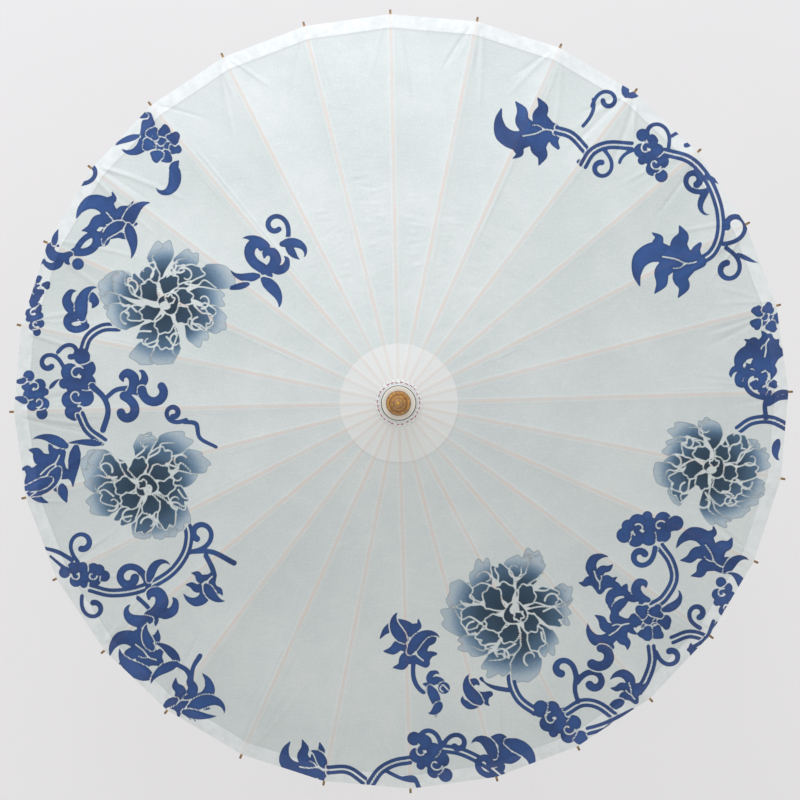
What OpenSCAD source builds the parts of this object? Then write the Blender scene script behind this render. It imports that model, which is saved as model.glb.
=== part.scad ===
// Oil paper umbrella: 28 bamboo ribs and 28 stretchers on a wooden pole, with a paper skin.
// Millimetres. +Z is up, the foot of the grip is at z = 0 and the pole is the Z axis.
// The umbrella is drawn open.

/* [Canopy] */

// Distance from the pole's axis to the tip of a rib
tip_r = 420; // [400:5:430]
// Thickness of the oiled paper skin
skin_t = 0.6; // [0.4:0.1:0.8]
// How far a rib tip stands out past the skin's corner
tip_out = 5; // [3:0.5:8]
// Width of the folded hem along the edge
hem_w = 15; // [10:1:20]
// Radius of the paper cap over the middle
cap_r = 58; // [45:1:70]

/* [Ribs] */

// Greatest width of a rib, at the slot for its stretcher
rib_w = 5.0; // [4.8:0.1:5.2]
// Width of a rib along its outer half
rib_outer_w = 4.6; // [4.2:0.1:4.7]
// Depth of a rib below the line of its pivots
rib_below = 2.2; // [2:0.1:2.2]
// Depth of a rib above the line of its pivots
rib_above = 1.8; // [1.6:0.1:1.8]
// Radius of the bamboo pin through a rib's slot
pin_r = 0.45; // [0.4:0.05:0.45]

/* [Stretchers] */

// Width of a stretcher along its middle
stretcher_w = 3.4; // [2.8:0.1:3.6]
// Depth of a stretcher on each side of its pivots
stretcher_half = 1.5; // [1.3:0.1:1.5]

/* [Pole] */

// Radius of the pole
pole_r = 7.5; // [7:0.1:7.6]
// Radius of the grip
grip_r = 11; // [10:0.5:13]
// Length of the grip
grip_h = 100; // [80:1:104]
// Greatest radius of the finial
finial_r = 13; // [11:0.5:15]

/* [Hub and runner] */

// Radius of the slotted flange of hub and runner
flange_r = 19.5; // [19.2:0.1:19.8]
// Length of the runner's sleeve below its flange
sleeve_h = 35.5; // [28:0.5:40]

/* [Hidden] */

N = 28;                     // ribs
pitch = 360 / N;
slope = 17.5;               // an open rib's slope below the horizontal
pivot_r = 17;               // both rings of pivots
hub_z = 530;                // height of the rib pivots
link = 190;                 // hub pivot to mid pivot, and mid pivot to runner pivot
runner_z = hub_z - 2 * link * sin(slope);
rib_len = (tip_r - pivot_r) / cos(slope);
head_t = 1.9;               // thickness of the heads that run in a slit
slit_w = 2.2;               // width of a slit and of a rib's slot
slit_r = 14.4;              // how near the axis a slit reaches
wire_r = 0.5;               // pivot wire
wire_hole = 0.65;           // hole in a head for the wire
bore_r = 8.0;               // the runner's bore
fit = 0.05;                 // gap between two pieces that are glued or wedged
skin_gap = 0.4;             // between a rib's top and the skin
hub_top = hub_z + 2.2;
skin_r = tip_r - tip_out;
seam = 0.05;                // half the gap between two sheets of the skin
wood = [0.72, 0.53, 0.31];
dark_wood = [0.52, 0.33, 0.17];
bamboo = [0.80, 0.66, 0.43];
paper = [0.93, 0.95, 0.95];
wire = [0.62, 0.60, 0.56];

// ---- the pole with its finial, grip and catch ----

module pole() {
  difference() {
    translate([0, 0, 12 + fit]) cylinder(r = pole_r, h = 524 - fit, $fn = 96);
    // slot for the catch, just under the runner of the open umbrella
    translate([2.2, -1.3, 340]) cube([10, 2.6, 35.6]);
  }
}

// A springy tongue in the pole's slot, drawn pressed in as the runner passes.
module catch() {
  translate([0, 1, 0]) rotate([90, 0, 0]) linear_extrude(2)
    polygon([[2.2 + fit, 340 + fit], [4.2, 340 + fit], [5.6, 352], [pole_r - 0.2, 366],
      [pole_r + 0.25, 374.4], [pole_r + 0.25, 375.2], [4.8, 375.2], [4.2, 362], [2.2 + fit, 348]]);
}

module finial() {
  f = finial_r;
  translate([0, 0, 536 + fit]) rotate_extrude($fn = 96)
    polygon([[0, 0], [9.4, 0], [10.4, 0.9], [10.4, 2.6], [9.2, 3.4], [9.2, 4.4],
      [f - 1.2, 6.0], [f - 0.2, 7.6], [f, 9.4], [f - 0.2, 11.2], [f - 1.1, 13.6], [f - 2.6, 15.6],
      [8.8, 17.2], [8.8, 18.4], [7.9, 19.0], [6.4, 21.0], [4.9, 24.4], [4.9, 25.4],
      [4.1, 26.0], [3.4, 28.6], [2.9, 31.4], [2.0, 33.4], [0.9, 34.4], [0, 34.6]]);
}

module grip() {
  difference() {
    rotate_extrude($fn = 96)
      polygon([[0, 0], [grip_r - 1, 0], [grip_r, 1], [grip_r, grip_h - 2], [grip_r - 2, grip_h], [0, grip_h]]);
    translate([0, 0, 12]) cylinder(r = pole_r + fit, h = grip_h, $fn = 96);
  }
}

module shaft() {
  color(bamboo) pole();
  color(dark_wood) finial();
  color(dark_wood) grip();
  color(wire) catch();
}

// ---- the hub and the runner ----

module ring_of_slits(z0, z1) {
  for (i = [0 : N - 1]) rotate([0, 0, i * pitch])
    translate([slit_r, -slit_w / 2, z0]) cube([10, slit_w, z1 - z0]);
}

module ring_tube(z, r) {
  translate([0, 0, z]) rotate_extrude($fn = 112) translate([pivot_r, 0]) circle(r = r, $fn = 24);
}

module top_hub() {
  color(wood) difference() {
    rotate_extrude($fn = 96)
      polygon([[pole_r + fit, 508], [12.4, 508], [13.4, 509], [13.4, 519.4], [14, 520], [flange_r - 0.8, 520],
        [flange_r, 520.8], [flange_r, hub_top], [pole_r + fit, hub_top]]);
    ring_of_slits(515, hub_top + 5);
    ring_tube(hub_z, wire_r + 0.14);
  }
  color(wire) ring_tube(hub_z, wire_r);
}

module runner() {
  zb = runner_z - 4.2;
  color(wood) difference() {
    rotate_extrude($fn = 96)
      polygon([[bore_r, zb - sleeve_h], [12.2, zb - sleeve_h], [13, zb - sleeve_h + 0.8], [13, zb - sleeve_h + 5],
        [11.8, zb - sleeve_h + 7], [11.8, zb - 8], [13.4, zb - 4], [14.2, zb], [flange_r - 0.8, zb], [flange_r, zb + 0.8],
        [flange_r, runner_z + 3.4], [14, runner_z + 3.4], [13.6, runner_z + 6], [12.6, runner_z + 7], [bore_r, runner_z + 7]]);
    ring_of_slits(runner_z - 2.4, runner_z + 20);
    ring_tube(runner_z, wire_r + 0.14);
  }
  color(wire) ring_tube(runner_z, wire_r);
}

// ---- a rib, along +X from its pivot and then sloped down ----

module rib_bar() {
  intersection() {
    // plan: narrow in the slit, widest at the slot, tapering at the tip
    translate([0, 0, -4]) linear_extrude(8)
      polygon(let(h = head_t / 2, o = rib_outer_w / 2, w = rib_w / 2)
        [[-4, -h], [22, -h], [60, -1.7], [100, -2.05], [140, -o], [166, -o], [180, -w], [226, -w], [240, -o],
         [rib_len - 34, -o], [rib_len - 8, -1.5], [rib_len, -1.1],
         [rib_len, 1.1], [rib_len - 8, 1.5], [rib_len - 34, o], [240, o], [226, w], [180, w], [166, o], [140, o],
         [100, 2.05], [60, 1.7], [22, h], [-4, h]]);
    // side view, with a round head about the pivot
    translate([0, 5, 0]) rotate([90, 0, 0]) linear_extrude(10) union() {
      circle(r = rib_below, $fn = 64);
      polygon([[0, -rib_below], [rib_len - 70, -rib_below], [rib_len - 6, -1.0], [rib_len, -0.4],
        [rib_len, rib_above], [0, rib_above]]);
    }
  }
}

module cross_hole(x, r) {
  translate([x, 6, 0]) rotate([90, 0, 0]) cylinder(r = r, h = 12, $fn = 48);
}

module rib(i) {
  rotate([0, 0, i * pitch]) translate([pivot_r, 0, hub_z]) rotate([0, slope, 0]) {
    color(bamboo) difference() {
      rib_bar();
      cross_hole(0, wire_hole);
      cross_hole(link, pin_r + fit);
      cross_hole(rib_len - 3, 0.35);
      translate([link - 9, -slit_w / 2, -5]) cube([44, slit_w, 10]);
    }
    color(dark_wood) translate([link, rib_w / 2 + 0.1, 0]) rotate([90, 0, 0])
      cylinder(r = pin_r, h = rib_w + 0.2, $fn = 48);
  }
}

// ---- a stretcher, along +X from its runner pivot and then sloped up ----

module stretcher_bar() {
  h = head_t / 2;
  w = stretcher_w / 2;
  s = stretcher_half;
  intersection() {
    translate([0, 0, -4]) linear_extrude(8)
      polygon([[-4, -h], [14, -h], [40, -1.2], [90, -w], [link - 48, -w], [link - 36, -0.9], [link + 4, -0.9],
        [link + 4, 0.9], [link - 36, 0.9], [link - 48, w], [90, w], [40, 1.2], [14, h], [-4, h]]);
    translate([0, 5, 0]) rotate([90, 0, 0]) linear_extrude(10) union() {
      circle(r = 1.9, $fn = 64);
      translate([link, 0]) circle(r = s, $fn = 64);
      translate([0, -s]) square([link, 2 * s]);
    }
  }
}

module stretcher(i) {
  rotate([0, 0, i * pitch]) translate([pivot_r, 0, runner_z]) rotate([0, -slope, 0])
    color(bamboo) difference() {
      stretcher_bar();
      cross_hole(0, wire_hole);
      cross_hole(link, pin_r + 0.15);
    }
}

// ---- the skin, its hem, the cap and the collar ----

// Height of the skin's underside over a rib, at distance r from the axis.
function under_z(r) = hub_z + (rib_above + skin_gap) / cos(slope) - (r - pivot_r) * tan(slope);
function flat_z() = hub_top + 0.4;
function skin_profile(r0, r1) = concat([[r0, flat_z()], [19.8, flat_z()]], [[24, under_z(24)], [r1, under_z(r1)]]);

// A ring with N sides whose corners lie over the ribs, from a closed outline of
// [r, z] points: outwards along the underside and back along the top.
module gored(outline) {
  k = len(outline);
  function nx(i) = (i + 1) % N;
  function at(j, i) = (j % k) * N + i;
  polyhedron(
    points = [for (p = outline, i = [0 : N - 1]) [p[0] * cos(i * pitch), p[0] * sin(i * pitch), p[1]]],
    faces = [for (j = [0 : k - 1], i = [0 : N - 1]) each [
      [at(j, i), at(j + 1, i), at(j + 1, nx(i))], [at(j, i), at(j + 1, nx(i)), at(j, nx(i))]]]);
}

// One fan-shaped sheet of the same ring, over the gores from rib a to rib b. The list ends holds the triangles that close each end.
module fan(outline, ends, a, b) {
  k = len(outline);
  m = b - a + 1;
  function shift(i) = i == a ? seam : i == b ? -seam : 0;
  function at(j, i) = (j % k) * m + i;
  polyhedron(
    points = [for (p = outline, i = [a : b])
      [p[0] * cos(i * pitch) - shift(i) * sin(i * pitch), p[0] * sin(i * pitch) + shift(i) * cos(i * pitch), p[1]]],
    faces = concat([for (j = [0 : k - 1], i = [0 : m - 2]) each [
      [at(j, i), at(j + 1, i), at(j + 1, i + 1)], [at(j, i), at(j + 1, i + 1), at(j, i + 1)]]],
      [for (e = ends) [at(e[2], 0), at(e[1], 0), at(e[0], 0)]],
      [for (e = ends) [at(e[0], m - 1), at(e[1], m - 1), at(e[2], m - 1)]]));
}

function raised(profile, dz) = [for (p = profile) [p[0], p[1] + dz]];
function reversed(list) = [for (i = [len(list) - 1 : -1 : 0]) list[i]];

module canopy() {
  hem_r = skin_r - hem_w;
  skin = concat(skin_profile(8.6, hem_r), [[skin_r, under_z(skin_r)]]);
  hem = raised([[hem_r + 0.2, under_z(hem_r + 0.2)], [skin_r, under_z(skin_r)]], 2 * skin_t);
  // fan-shaped sheets over two gores each, doubled along the edge by the folded hem
  color(paper) for (f = [0 : 2 : N - 2])
    fan(concat(skin, reversed(hem), reversed(raised(skin_profile(8.6, hem_r), skin_t))),
      [[0, 1, 9], [0, 9, 10], [1, 2, 8], [1, 8, 9], [2, 3, 7], [2, 7, 8], [3, 4, 5], [3, 5, 6], [3, 6, 7]], f, f + 2);
  // paper cap over the middle
  cap = skin_profile(8.6, cap_r);
  color([0.97, 0.97, 0.95]) gored(concat(raised(cap, skin_t + fit), reversed(raised(cap, skin_t + fit + 0.4))));
  // collar washer under the finial
  color([0.93, 0.89, 0.80]) translate([0, 0, flat_z() + skin_t + 0.4 + 2 * fit]) difference() {
    cylinder(r = 18.6, h = 1.6, $fn = 96);
    translate([0, 0, -1]) cylinder(r = 8.6, h = 4, $fn = 96);
  }
}

shaft();
top_hub();
runner();
canopy();
rib(0);  // rib_01
rib(1);  // rib_02
rib(2);  // rib_03
rib(3);  // rib_04
rib(4);  // rib_05
rib(5);  // rib_06
rib(6);  // rib_07
rib(7);  // rib_08
rib(8);  // rib_09
rib(9);  // rib_10
rib(10);  // rib_11
rib(11);  // rib_12
rib(12);  // rib_13
rib(13);  // rib_14
rib(14);  // rib_15
rib(15);  // rib_16
rib(16);  // rib_17
rib(17);  // rib_18
rib(18);  // rib_19
rib(19);  // rib_20
rib(20);  // rib_21
rib(21);  // rib_22
rib(22);  // rib_23
rib(23);  // rib_24
rib(24);  // rib_25
rib(25);  // rib_26
rib(26);  // rib_27
rib(27);  // rib_28
stretcher(0);  // stretcher_01
stretcher(1);  // stretcher_02
stretcher(2);  // stretcher_03
stretcher(3);  // stretcher_04
stretcher(4);  // stretcher_05
stretcher(5);  // stretcher_06
stretcher(6);  // stretcher_07
stretcher(7);  // stretcher_08
stretcher(8);  // stretcher_09
stretcher(9);  // stretcher_10
stretcher(10);  // stretcher_11
stretcher(11);  // stretcher_12
stretcher(12);  // stretcher_13
stretcher(13);  // stretcher_14
stretcher(14);  // stretcher_15
stretcher(15);  // stretcher_16
stretcher(16);  // stretcher_17
stretcher(17);  // stretcher_18
stretcher(18);  // stretcher_19
stretcher(19);  // stretcher_20
stretcher(20);  // stretcher_21
stretcher(21);  // stretcher_22
stretcher(22);  // stretcher_23
stretcher(23);  // stretcher_24
stretcher(24);  // stretcher_25
stretcher(25);  // stretcher_26
stretcher(26);  // stretcher_27
stretcher(27);  // stretcher_28
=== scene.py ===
"""Oil paper umbrella: the looks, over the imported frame. Metres, +Z up, pole on the Z axis."""
import math

import bpy
import numpy as np
from mathutils import Matrix, Vector


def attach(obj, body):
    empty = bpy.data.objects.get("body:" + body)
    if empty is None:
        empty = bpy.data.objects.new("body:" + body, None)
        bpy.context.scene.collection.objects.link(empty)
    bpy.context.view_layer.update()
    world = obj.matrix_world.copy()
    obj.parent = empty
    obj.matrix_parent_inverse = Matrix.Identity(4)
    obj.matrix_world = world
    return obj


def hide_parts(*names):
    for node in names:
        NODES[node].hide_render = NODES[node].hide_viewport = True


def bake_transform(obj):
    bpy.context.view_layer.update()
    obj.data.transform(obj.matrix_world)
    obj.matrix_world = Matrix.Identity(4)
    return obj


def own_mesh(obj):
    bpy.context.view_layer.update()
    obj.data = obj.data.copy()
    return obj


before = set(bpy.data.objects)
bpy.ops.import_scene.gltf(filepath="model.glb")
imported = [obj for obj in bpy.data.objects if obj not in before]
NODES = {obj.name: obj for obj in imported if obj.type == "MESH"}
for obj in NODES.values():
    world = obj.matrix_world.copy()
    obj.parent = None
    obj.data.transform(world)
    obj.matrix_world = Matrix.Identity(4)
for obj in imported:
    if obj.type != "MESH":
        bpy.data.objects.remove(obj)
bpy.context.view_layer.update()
scene = bpy.context.scene

# ------------------------------------------------------------------ sizes, mm
N = 28
PITCH = 2 * math.pi / N
SLOPE = math.radians(17.5)
TAN, COS, SIN = math.tan(SLOPE), math.cos(SLOPE), math.sin(SLOPE)
PIVOT_R, HUB_Z, LINK = 17.0, 530.0, 190.0
RUN_Z = HUB_Z - 2 * LINK * SIN
R_IN, R_OUT = 24.0, 415.0
HEM_R = 400.0
THICK = 0.45
CAP_R = 59.0
MM = 0.001
rng = np.random.default_rng(28)


def smooth(a, b, x):
    t = np.clip((x - a) / (b - a), 0, 1)
    return t * t * (3 - 2 * t)


def under(r):
    """Height of the skin's underside over a rib."""
    return HUB_Z + 2.2 / COS - (r - PIVOT_R) * TAN


# ------------------------------------------------------------------ node helpers
class Tree:
    def __init__(self, name):
        self.mat = bpy.data.materials.new(name)
        self.mat.use_nodes = True
        self.t = self.mat.node_tree
        self.t.nodes.clear()
        self.out = self.t.nodes.new("ShaderNodeOutputMaterial")
        self.bsdf = self.t.nodes.new("ShaderNodeBsdfPrincipled")
        self.t.links.new(self.bsdf.outputs[0], self.out.inputs[0])

    def node(self, kind, **props):
        n = self.t.nodes.new(kind)
        for k, v in props.items():
            setattr(n, k, v)
        return n

    def put(self, socket, value):
        if isinstance(value, bpy.types.NodeSocket):
            self.t.links.new(value, socket)
        else:
            socket.default_value = value

    def attr(self, name, out="Fac"):
        return self.node("ShaderNodeAttribute", attribute_name=name).outputs[out]

    def coord(self):
        return self.node("ShaderNodeTexCoord").outputs["Object"]

    def mapping(self, vec, scale=(1, 1, 1), rot=(0, 0, 0), loc=(0, 0, 0)):
        n = self.node("ShaderNodeMapping")
        self.put(n.inputs[0], vec)
        n.inputs["Scale"].default_value = scale
        n.inputs["Rotation"].default_value = rot
        n.inputs["Location"].default_value = loc
        return n.outputs[0]

    def noise(self, vec, scale, detail=3.0, rough=0.5, dist=0.0):
        n = self.node("ShaderNodeTexNoise")
        self.put(n.inputs["Vector"], vec)
        n.inputs["Scale"].default_value = scale
        n.inputs["Detail"].default_value = detail
        n.inputs["Roughness"].default_value = rough
        n.inputs["Distortion"].default_value = dist
        return n.outputs["Fac"]

    def math(self, op, a, b=0.0, c=0.0, clamp=False):
        n = self.node("ShaderNodeMath", operation=op, use_clamp=clamp)
        self.put(n.inputs[0], a)
        self.put(n.inputs[1], b)
        self.put(n.inputs[2], c)
        return n.outputs[0]

    def ramp(self, fac, a, b, lo=0.0, hi=1.0):
        """Smooth map of fac from [a, b] to [lo, hi]."""
        n = self.node("ShaderNodeMapRange", interpolation_type="SMOOTHSTEP")
        self.put(n.inputs["Value"], fac)
        n.inputs["From Min"].default_value = a
        n.inputs["From Max"].default_value = b
        n.inputs["To Min"].default_value = lo
        n.inputs["To Max"].default_value = hi
        return n.outputs["Result"]

    def mix(self, fac, a, b, blend="MIX"):
        n = self.node("ShaderNodeMix", data_type="RGBA", blend_type=blend)
        self.put(n.inputs[0], fac)
        self.put(n.inputs[6], a)
        self.put(n.inputs[7], b)
        return n.outputs[2]

    def bump(self, height, strength=0.3, dist=0.001, normal=None):
        n = self.node("ShaderNodeBump")
        n.inputs["Strength"].default_value = strength
        n.inputs["Distance"].default_value = dist
        self.put(n.inputs["Height"], height)
        if normal is not None:
            self.put(n.inputs["Normal"], normal)
        return n.outputs[0]

    def set(self, **kw):
        for k, v in kw.items():
            self.put(self.bsdf.inputs[k.replace("_", " ")], v)
        return self.mat


def rgb(r, g, b):
    """sRGB 0-255 to linear RGBA."""
    f = lambda v: v / 12.92 if v <= 0.04045 else ((v + 0.055) / 1.055) ** 2.4
    return (f(r / 255), f(g / 255), f(b / 255), 1.0)


# ------------------------------------------------------------------ the skin's surface
SEG = 52  # columns across the open part of a gore
PER = SEG + 4  # and 4 across the strip over a rib

rows = np.concatenate([
    np.arange(R_IN, 140, 3.4), np.arange(140, 399.0, 1.5), [399.4, 400.0, 400.6],
    np.arange(402.0, 414.0, 1.5), [R_OUT]])
if len(rows) % 2 == 0:
    rows = np.insert(rows, 1, (rows[0] + rows[1]) / 2)
NR = len(rows)


def strip_half(r):
    """Half the width of the flat strip of skin that is glued along a rib."""
    s = (r - PIVOT_R) / COS
    return np.interp(s, [0, 22, 60, 100, 140, 180, 226, 260, 400, 422],
                     [1.3, 1.3, 2.05, 2.4, 2.7, 2.85, 2.85, 2.7, 2.7, 2.7])


def noise1(n, step, seed, amp=1.0):
    """Smooth 1-D noise sampled at n places, one knot in every step."""
    g = np.random.default_rng(seed)
    k = g.normal(size=int(n / step) + 4)
    x = np.arange(n) / step
    i = x.astype(int)
    f = x - i
    f = f * f * (3 - 2 * f)
    return amp * (k[i] * (1 - f) + k[i + 1] * f)


V = np.arange(SEG + 1) / SEG
X = np.zeros((NR, N * PER))
Y = np.zeros_like(X)
Z = np.zeros_like(X)
YRIB = np.zeros_like(X)  # distance from the nearest rib's middle, mm
WRK = np.zeros_like(X)

for g in range(N):
    th, th2 = g * PITCH, (g + 1) * PITCH
    c = strip_half(rows)
    t = np.array([-math.sin(th), math.cos(th)])
    t2 = np.array([-math.sin(th2), math.cos(th2)])
    R = np.outer(rows, [math.cos(th), math.sin(th)])
    R2 = np.outer(rows, [math.cos(th2), math.sin(th2)])
    z = under(rows) + THICK
    for j, k in enumerate((-1, -0.5, 0, 0.5)):
        p = R + np.outer(c * k, t)
        X[:, g * PER + j], Y[:, g * PER + j] = p[:, 0], p[:, 1]
        Z[:, g * PER + j] = z + 0.10 * (1 - k * k)
        YRIB[:, g * PER + j] = np.abs(k) * c
    A, B = R + np.outer(c, t), R2 - np.outer(c, t2)
    P = A[:, None, :] * (1 - V[None, :, None]) + B[:, None, :] * V[None, :, None]
    arch = 4 * V * (1 - V)
    rr = rows[:, None]
    sag = (2.6 + 0.8 * rng.normal()) * (rr / R_OUT) ** 1.6 * arch[None, :] ** 0.85
    # the hem is drawn tight from tip to tip, so it sags less
    sag = sag * (1 - 0.45 * smooth(380, 412, rr))
    # small ladder creases between the ribs, strongest half-way along the upper gores
    az = math.degrees((g + 0.5) * PITCH)
    up = 0.25 + 0.75 * math.exp(-(((az - 78 + 180) % 360 - 180) / 62) ** 2)
    gen = np.random.default_rng(500 + g)
    lad = np.zeros((NR, SEG + 1))
    r0 = gen.uniform(80, 100)
    while r0 < gen.uniform(215, 270):
        v0, wv = gen.uniform(0.25, 0.75), gen.uniform(0.12, 0.3)
        tilt = gen.normal(scale=7)
        h = gen.uniform(0.14, 0.46) * (1 if gen.random() > 0.4 else -1)
        d = rr - (r0 + tilt * (V[None, :] - v0))
        w = gen.uniform(1.3, 2.4)
        lad += h * np.exp(-(d / w) ** 2) * np.exp(-((V[None, :] - v0) / wv) ** 2)
        r0 += gen.uniform(4.0, 9.0)
    # long creases that run in from a tip across the gore
    for side in (0, 1):
        for _ in range(gen.integers(1, 4)):
            a0 = gen.uniform(0.06, 0.5)
            ln = gen.uniform(40, 110)
            amp = gen.uniform(0.35, 1.05) * (1 if gen.random() > 0.35 else -1)
            v = V[None, :] if side == 0 else 1 - V[None, :]
            s = (R_OUT - 4 - rr) / ln
            d = (v - 0.03 - a0 * s) * 93 * (rr / R_OUT)
            lad += amp * np.exp(-(d / gen.uniform(1.6, 3.2)) ** 2) * smooth(0.0, 0.12, s) * (1 - smooth(0.6, 1.0, s))
    # a crease beside some ribs, where the paper is pulled
    for side in (0, 1):
        if gen.random() < 0.6:
            v = V[None, :] if side == 0 else 1 - V[None, :]
            ra, rb = sorted(gen.uniform(90, 380, 2))
            d = (v * 93 * (rr / R_OUT) - gen.uniform(1.5, 4.5) - 0.01 * (rr - ra))
            lad += gen.uniform(0.24, 0.60) * np.exp(-(d / 1.5) ** 2) * smooth(ra, ra + 25, rr) * (1 - smooth(rb - 25, rb, rr))
    lad *= smooth(0, 0.05, V[None, :]) * smooth(0, 0.05, 1 - V[None, :])
    lad[:, :] *= np.where(rr < 290, up, 1.0) * smooth(60, 85, rr)
    # slow buckling of the whole gore
    buck = 0.35 * noise1(NR, 34, 900 + g)[:, None] * arch[None, :] * smooth(60, 200, rr)
    zg = z[:, None] - sag + lad + buck * 0.5
    s_ = slice(g * PER + 4, g * PER + 4 + SEG)
    X[:, s_], Y[:, s_], Z[:, s_] = P[:, :-1, 0], P[:, :-1, 1], zg[:, :-1]
    w_g = np.linalg.norm(B - A, axis=1)[:, None]
    YRIB[:, s_] = (c[:, None] + np.minimum(V, 1 - V)[None, :] * w_g)[:, :-1]
    WRK[:, s_] = lad[:, :-1]

# the folded hem stands a little proud
Z += 0.32 * smooth(397.6, 401.2, rows)[:, None]
# the radius of each place, taken from its row
RR = np.repeat(rows[:, None], N * PER, 1)


def ring_normals(X, Y, Z):
    P = np.stack([X, Y, Z], -1)
    du = np.roll(P, -1, 1) - np.roll(P, 1, 1)
    dr = np.gradient(P, axis=0)
    n = np.cross(dr, du)
    n /= np.linalg.norm(n, axis=-1, keepdims=True)
    return np.where(n[..., 2:] < 0, -n, n)


NRM = ring_normals(X, Y, Z)

# ------------------------------------------------------------------ the print, on an 800 x 800 layout grid
# The grid is the open umbrella as the camera sees it: x runs right and y down, one unit is about 1.077 mm at the rim.
CAM_D = 3200.0
CAM_F = 2983.6  # focal length in grid units
ROLL = math.radians(1.485)
TILT_X, TILT_Y = math.radians(0.832), math.radians(0.513)
AIM = np.array([-0.39, 1.98, 405.0])
to_cam = np.array([math.tan(TILT_X), math.tan(TILT_Y), 1.0])
to_cam /= np.linalg.norm(to_cam)
cam_x = np.cross(np.array([math.sin(ROLL), math.cos(ROLL), 0.0]), to_cam)
cam_x /= np.linalg.norm(cam_x)
cam_y = np.cross(to_cam, cam_x)
cam_at = AIM + to_cam * CAM_D
_d = np.stack([X - cam_at[0], Y - cam_at[1], Z - cam_at[2]], -1)
_depth = -(_d @ to_cam)
GX = 400 + CAM_F * (_d @ cam_x) / _depth
GY = 400 - CAM_F * (_d @ cam_y) / _depth

FAR = 6.0
INK = np.full(GX.size, FAR)
PET = np.full(GX.size, FAR)
TONE = np.zeros(GX.size)
gx, gy = GX.ravel(), GY.ravel()


def near_to(pts, pad):
    lo, hi = pts.min(0) - pad, pts.max(0) + pad
    return np.nonzero((gx > lo[0]) & (gx < hi[0]) & (gy > lo[1]) & (gy < hi[1]))[0]


def curve(points, n=14):
    """A smooth line through the points."""
    p = np.array(points, float)
    if len(p) < 3:
        return np.stack([np.linspace(p[0, k], p[-1, k], n) for k in (0, 1)], 1)
    q = np.vstack([2 * p[0] - p[1], p, 2 * p[-1] - p[-2]])
    out = []
    t = np.linspace(0, 1, n, endpoint=False)[:, None]
    for i in range(1, len(q) - 2):
        a, b, c, d = q[i - 1], q[i], q[i + 1], q[i + 2]
        out.append(0.5 * (2 * b + (c - a) * t + (2 * a - 5 * b + 4 * c - d) * t**2 + (3 * b - a - 3 * c + d) * t**3))
    return np.vstack(out + [p[-1:]])


def seg_dist(idx, line, w):
    """Distance from each grid place to a line of varying half width."""
    q = np.stack([gx[idx], gy[idx]], 1)
    best = np.full(len(idx), 1e9)
    for a, b, wa, wb in zip(line[:-1], line[1:], w[:-1], w[1:]):
        d = b - a
        t = np.clip(((q - a) @ d) / max(d @ d, 1e-12), 0, 1)
        best = np.minimum(best, np.hypot(*(q - a - t[:, None] * d).T) - (wa + (wb - wa) * t))
    return best


def poly_dist(idx, poly):
    """Signed distance to a closed outline, negative inside."""
    q = np.stack([gx[idx], gy[idx]], 1)
    best = np.full(len(idx), 1e9)
    inside = np.zeros(len(idx), bool)
    for a, b in zip(poly, np.roll(poly, -1, 0)):
        d = b - a
        t = np.clip(((q - a) @ d) / max(d @ d, 1e-12), 0, 1)
        best = np.minimum(best, np.hypot(*(q - a - t[:, None] * d).T))
        cross = (a[1] > q[:, 1]) != (b[1] > q[:, 1])
        x = a[0] + (q[:, 1] - a[1]) * (b[0] - a[0]) / (b[1] - a[1] if b[1] != a[1] else 1e-12)
        inside ^= cross & (q[:, 0] < x)
    return np.where(inside, -best, best)


def lay(idx, sd, halo=1.2):
    """Adds a shape to the ink, with a pale line round it where it crosses earlier ink."""
    if halo:
        INK[idx] = np.maximum(INK[idx], halo - sd)
    INK[idx] = np.minimum(INK[idx], np.minimum(sd, FAR))


def stroke(points, w, halo=1.2, n=10):
    line = curve(points, n)
    w = np.interp(np.linspace(0, 1, len(line)), np.linspace(0, 1, len(w)), w)
    idx = near_to(line, w.max() + FAR)
    if len(idx):
        lay(idx, seg_dist(idx, line, w), halo)


def cut(points, w=0.8, n=10):
    """A pale line through the ink."""
    line = curve(points, n)
    idx = near_to(line, w + 3)
    if len(idx):
        sd = seg_dist(idx, line, np.full(len(line), w))
        INK[idx] = np.maximum(INK[idx], -sd)


def walk(x, y, heading, length, turn, power=1.0, n=26):
    """Points of a path that starts at (x, y) and turns as it goes. Headings are anticlockwise from +x."""
    s = np.linspace(0, 1, n)
    h = np.radians(heading + turn * s**power)
    step = length / (n - 1)
    px = x + np.concatenate([[0], np.cumsum(np.cos(h[:-1]) * step)])
    py = y - np.concatenate([[0], np.cumsum(np.sin(h[:-1]) * step)])
    return np.stack([px, py], 1)


def brush(line, w, halo=1.2):
    w = np.interp(np.linspace(0, 1, len(line)), np.linspace(0, 1, len(w)), w)
    idx = near_to(line, w.max() + FAR)
    if len(idx):
        lay(idx, seg_dist(idx, line, w), halo)


def comma(x, y, heading, length, turn, fat, halo=1.2, start=0.55, tip=0.3, power=2.1):
    """A swelling stroke with a hooked tip."""
    brush(walk(x, y, heading, length, turn * 1.25, power), [fat * start, fat * 0.95, fat, fat * 0.85, fat * 0.6, fat * 0.32, tip], halo)


def curl(x, y, heading, length, turn, w=2.0, end=3.0, halo=0.0, power=1.7):
    """A tendril that winds up and ends in a drop."""
    line = walk(x, y, heading, length, turn, power, 34)
    brush(line, [w, w, w, w * 1.05, (w + end) / 2, end * 0.92], halo)


def vine(points, off=2.75, w=1.85, halo=1.2):
    """A stem drawn as two lines with a pale line between them."""
    line = curve(points, 12)
    d = np.gradient(line, axis=0)
    d /= np.linalg.norm(d, axis=1, keepdims=True)
    nrm = np.stack([-d[:, 1], d[:, 0]], 1)
    idx = near_to(line, off + w + FAR)
    if not len(idx):
        return
    a = seg_dist(idx, line + nrm * off, np.full(len(line), w))
    b = seg_dist(idx, line - nrm * off, np.full(len(line), w))
    lay(idx, np.minimum(a, b), halo)


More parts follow.
